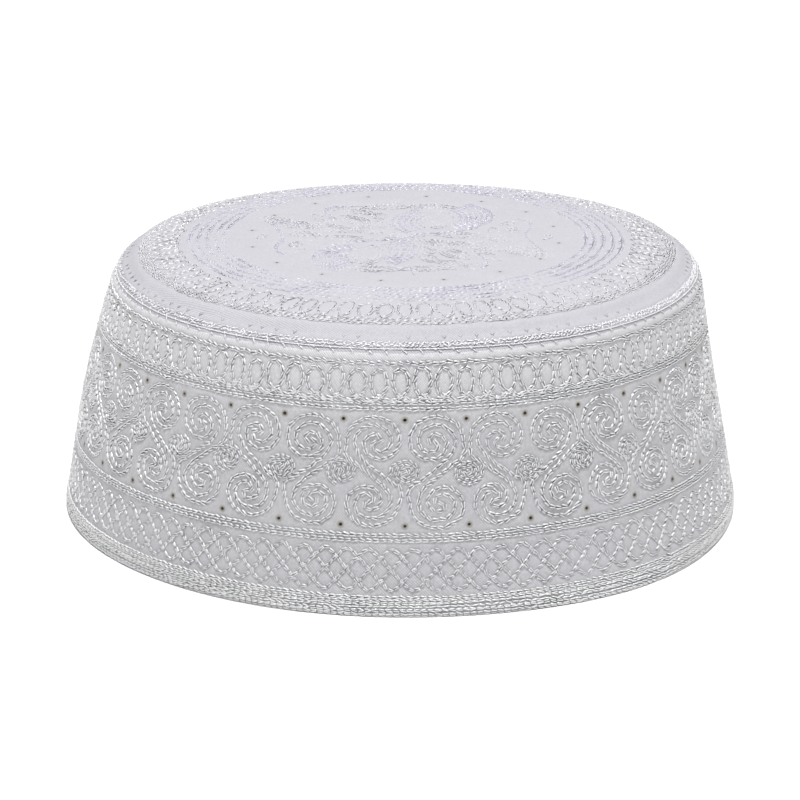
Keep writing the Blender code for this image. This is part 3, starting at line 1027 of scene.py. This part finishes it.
# Stems and curls of one half, in millimetres
CURLS = (
    ((-36.8, 14.6), (-34.8, 8.0), (-33.1, 2.0), (-33.0, -3.5), (-34.5, -9.0), (-34.0, -14.6),
     (-31.6, -17.0)),
    ((20.6, -21.6), (22.0, -25.4), (20.8, -29.2), (17.6, -30.8), (15.6, -29.2), (17.2, -27.2)),
    ((-2.6, -2.4), (-8.0, -3.8), (-14.0, -5.4), (-19.0, -8.2)),
)
# The flower's petals, each a small outline in a larger one: how many, how far out, length and width
FLOWER_PETALS = 6
PETAL_REACH = 3.4
PETAL_OUTLINES = ((5.6, 3.0), (3.0, 1.4))


def on_crown_plan(line):
    """Lays a line charted in plan, in millimetres, on the crown."""
    x = line[:, 0] * MILLIMETRE
    y = line[:, 1] * MILLIMETRE
    return on_crown(np.arctan2(y, x), np.hypot(x, y))


def leaf_outline(x, y, turn, length, width):
    along = np.linspace(-1.0, 1.0, 40)
    rise = width / 2.0 * (1.0 - along ** 2) ** 0.8
    there = np.stack([along * length / 2.0, rise], axis=1)
    back = there[::-1] * (1.0, -1.0)
    outline = np.vstack([there, back[1:-1]])
    cosine, sine = math.cos(math.radians(turn)), math.sin(math.radians(turn))
    return outline @ np.array([[cosine, sine], [-sine, cosine]]) + (x, y)


def both_halves(lines):
    """The charted lines of one half of the motif, and the same turned half round, laid on the crown."""
    return [(*on_crown_plan(line), False) for line in lines + [-line for line in lines]]


bud_lines = [through(curl, step=0.5) for curl in CURLS]
for outermost, innermost, count in BUD_CRESCENTS:
    for share in np.linspace(0.0, 1.0, count):
        crescent = (1.0 - share) * np.array(outermost) + share * np.array(innermost)
        bud_lines.append(through(crescent, step=0.5))
crown_buds = sewn("crown_bud_embroidery", both_halves(bud_lines), ring_thread, CHAIN_PITCH, BUD_LINK,
                  CHAIN_SLANT, 25, shades=False)
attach(crown_buds, "root")

leaf_lines = []
for x, y, turn, length, width in LEAVES:
    outlines = max(1, round(width / 2.0 / LEAF_ROWS_APART))
    for k in range(outlines):
        share = 1.0 - k / outlines
        leaf_lines.append(leaf_outline(x, y, turn, length * (0.25 + 0.75 * share), width * share))
for k in range(FLOWER_PETALS // 2):
    turn = 180.0 * k / (FLOWER_PETALS // 2) + 20.0
    x = PETAL_REACH * math.cos(math.radians(turn))
    y = PETAL_REACH * math.sin(math.radians(turn))
    leaf_lines += [leaf_outline(x, y, turn, length, width) for length, width in PETAL_OUTLINES]
motif_thread = cotton_thread("motif_thread", MOTIF_TONES, 1.4)
crown_motif = sewn("crown_motif_embroidery", both_halves(leaf_lines), motif_thread, MOTIF_PITCH,
                   MOTIF_STITCH, CHAIN_SLANT, 23, unevenness=0.5, chain=False, shades=False)
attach(crown_motif, "root")


# The cloth drawn in: every stitched line pulls the two layers together, so the cloth sinks along it and
# stands up between, with small soft puckers. The eyelets were opened with a hot point, which singed them.
WELL_DEPTH = 0.00018
FLAT_WELL_SHARE = 0.48
WELL_WIDTH = 0.00050
PILLOW_RISE = 0.00013
PILLOW_WIDTH = 0.0017
PUCKER = 0.00016
PUCKER_SIZE = 0.0045
SAG = 0.00016
SAG_SIZE = 0.019
# The cloth lies flat round an eyelet up to here, and is drawn in fully this much further out
EYELET_FLAT_TO = 0.0009
EYELET_FLAT_FADE = 0.0020
SINGE_POWER = 2.1
EDGE_FADE = 0.0012


def nearest_to(points):
    tree = kdtree.KDTree(len(points))
    for number, point in enumerate(points):
        tree.insert(point, number)
    tree.balance()
    return tree


threads = nearest_to(np.concatenate(thread_paths))
shaded_threads = nearest_to(np.concatenate(shaded_paths))

eyelet_spots = []
for eyelet_height in EYELET_ROW_HEIGHTS:
    radius = HEM_RADIUS - WALL_TAPER * eyelet_height
    for inwards in (0.0, WALL_THICKNESS):
        eyelet_spots += [cap_point(angle, radius - inwards, eyelet_height) for angle in eyelet_angles]
for height in (CROWN_HEIGHT, CROWN_INSIDE[-1][1]):
    eyelet_spots += [cap_point(angle, CROWN_EYELET_RING, height) for angle in crown_eyelet_angles]
eyelets = nearest_to(eyelet_spots)


def read(items, name, each=1, kind=float):
    """What Blender holds under this name for all the items, several values of one item in a row."""
    values = np.empty(len(items) * each, dtype=kind)
    items.foreach_get(name, values)
    return values.reshape(-1, each) if each > 1 else values


def held(value):
    return min(1.0, max(0.0, value))


def draw_in(piece, lowest, highest, hidden_from, singed):
    """Sinks the outside along the threads, lifts it between them, and marks the wells' painted shade and the
    singed rims.
    """
    mesh = piece.data
    places = read(mesh.vertices, "co", each=3)
    normals = read(mesh.vertex_normals, "vector", each=3)
    outside = read(mesh.attributes["outside"].data, "value", kind=bool)
    wells, singes, moves = np.zeros((3, len(places)))
    for index, place in enumerate(places):
        to_eyelet = eyelets.find(place)[2]
        singes[index] = singed * held(1.0 - (to_eyelet - EYELET_RADIUS) / SINGE_REACH) ** SINGE_POWER
        if not outside[index]:
            continue
        away = threads.find(place)[2]
        # Painted shade: the well mark darkens the cloth's colour beside the stitches that shade it
        wells[index] = math.exp(-(shaded_threads.find(place)[2] / WELL_WIDTH) ** 2)
        sunk = max(wells[index], FLAT_WELL_SHARE * math.exp(-(away / WELL_WIDTH) ** 2))
        flat = held((to_eyelet - EYELET_FLAT_TO) / EYELET_FLAT_FADE)
        move = flat * (PILLOW_RISE * (1.0 - math.exp(-(away / PILLOW_WIDTH) ** 2)) - WELL_DEPTH * sunk)
        move += flat * PUCKER * noise.noise(place / PUCKER_SIZE) + SAG * noise.noise(place / SAG_SIZE)
        at_hem = held((place[2] - lowest) / EDGE_FADE)
        at_top = held((highest - place[2]) / EDGE_FADE) if hidden_from else 1.0
        moves[index] = move * at_hem * at_top
    places = places + normals * moves[:, None]
    mesh.vertices.foreach_set("co", places.ravel())
    for name, values in (("painted_well_shade", wells), ("singe", singes)):
        mesh.attributes.new(name, "FLOAT", "POINT").data.foreach_set("value", values)
    mesh.attributes.remove(mesh.attributes["outside"])
    mesh.update()


def cloth_map(piece, flat):
    """Lays the weave on the cloth, in metres: unrolled round the wall, or flat across the crown."""
    mesh = piece.data
    layer = mesh.uv_layers.new(name="cloth")
    places = read(mesh.vertices, "co", each=3)[read(mesh.loops, "vertex_index", kind=int)]
    if flat:
        middle_out = crown_line[::-1]
        walked = walk_along(middle_out) + middle_out[0, 0]
        out = np.maximum(np.hypot(places[:, 0], places[:, 1]), 1e-5)
        laid = places[:, :2] * (np.interp(out, middle_out[:, 0], walked) / out)[:, None]
    else:
        angle = np.arctan2(places[:, 1], places[:, 0])
        starts = read(mesh.polygons, "loop_start", kind=int)
        first = np.repeat(angle[starts], read(mesh.polygons, "loop_total", kind=int))
        angle = first + (angle - first + math.pi) % (2.0 * math.pi) - math.pi
        laid = np.stack([angle * HEM_RADIUS, places[:, 2]], axis=1)
    layer.data.foreach_set("uv", laid.astype(np.float32).ravel())


draw_in(side_band, 0.0, 0.0652, True, 1.0)
draw_in(crown, 0.0659, 0.0, False, 0.4)
cloth_map(side_band, False)
cloth_map(crown, True)


# The floor: a pale, matt studio sweep under the cap. Soft white lamps light it from above, from the front
# and from the back, in a pale room.
FLOOR_SIZE = 6.0
# Each lamp's place, how far behind the cap's middle it aims, its width and its power
LAMPS = (
    ("over_lamp", (0.06, -0.60, 3.95), 0.0, 0.50, 148.0),
    ("front_lamp", (-0.45, -2.30, 3.10), 0.0, 0.50, 19.0),
    ("back_lamp", (0.00, 2.40, 3.40), 1.0, 0.60, 26.0),
)
LAMP_AIM_HEIGHT = 0.04
ROOM_LIGHT = 0.155

floor_mesh = bpy.data.meshes.new("floor")
half = FLOOR_SIZE / 2.0
floor_mesh.from_pydata([(-half, -half, 0.0), (half, -half, 0.0), (half, half, 0.0), (-half, half, 0.0)],
                       [], [(0, 1, 2, 3)])
floor_looks = {"Base Color": (0.96, 0.96, 0.96, 1.0), "Roughness": 0.9}
floor_mesh.materials.append(new_material("pale_floor", floor_looks)[0])
floor = placed("floor", floor_mesh)

for name, place, behind, across, power in LAMPS:
    light = bpy.data.lights.new(name, "AREA")
    light.shape = "DISK"
    light.size = across
    light.energy = power
    lamp = placed(name, light)
    lamp.location = place
    aim = Vector((0.0, behind, LAMP_AIM_HEIGHT))
    lamp.rotation_euler = (aim - Vector(place)).to_track_quat("-Z", "Y").to_euler()
room = bpy.context.scene.world or bpy.data.worlds.new("room")
bpy.context.scene.world = room
room.use_nodes = True
room.node_tree.nodes["Background"].inputs["Color"].default_value = (1.0, 1.0, 1.0, 1.0)
room.node_tree.nodes["Background"].inputs["Strength"].default_value = ROOM_LIGHT
bpy.context.scene.view_settings.view_transform = "Standard"


# The camera: level with the photograph's, about 18 degrees above the hem and a metre away, with a long
# lens.
CAMERA_ELEVATION = math.radians(18.53)
CAMERA_DISTANCE = 0.964
CAMERA_AIM_HEIGHT = 0.0270
CAMERA_ACROSS = -0.00123
CAMERA_LENS = 158.0
CAMERA_SENSOR = 36.0

camera_data = bpy.data.cameras.new("camera")
camera_data.lens = CAMERA_LENS
camera_data.sensor_width = CAMERA_SENSOR
camera = placed("camera", camera_data)
camera.location = (TO_ORIGIN[0] + CAMERA_ACROSS,
                   TO_ORIGIN[1] - CAMERA_DISTANCE * math.cos(CAMERA_ELEVATION),
                   CAMERA_DISTANCE * math.sin(CAMERA_ELEVATION) + CAMERA_AIM_HEIGHT)
camera.rotation_euler = (math.pi / 2.0 - CAMERA_ELEVATION, 0.0, 0.0)
bpy.context.scene.camera = camera

for loose in ("Cube", "Light", "Camera"):
    if loose in bpy.data.objects:
        bpy.data.objects.remove(bpy.data.objects[loose])
bpy.context.view_layer.update()
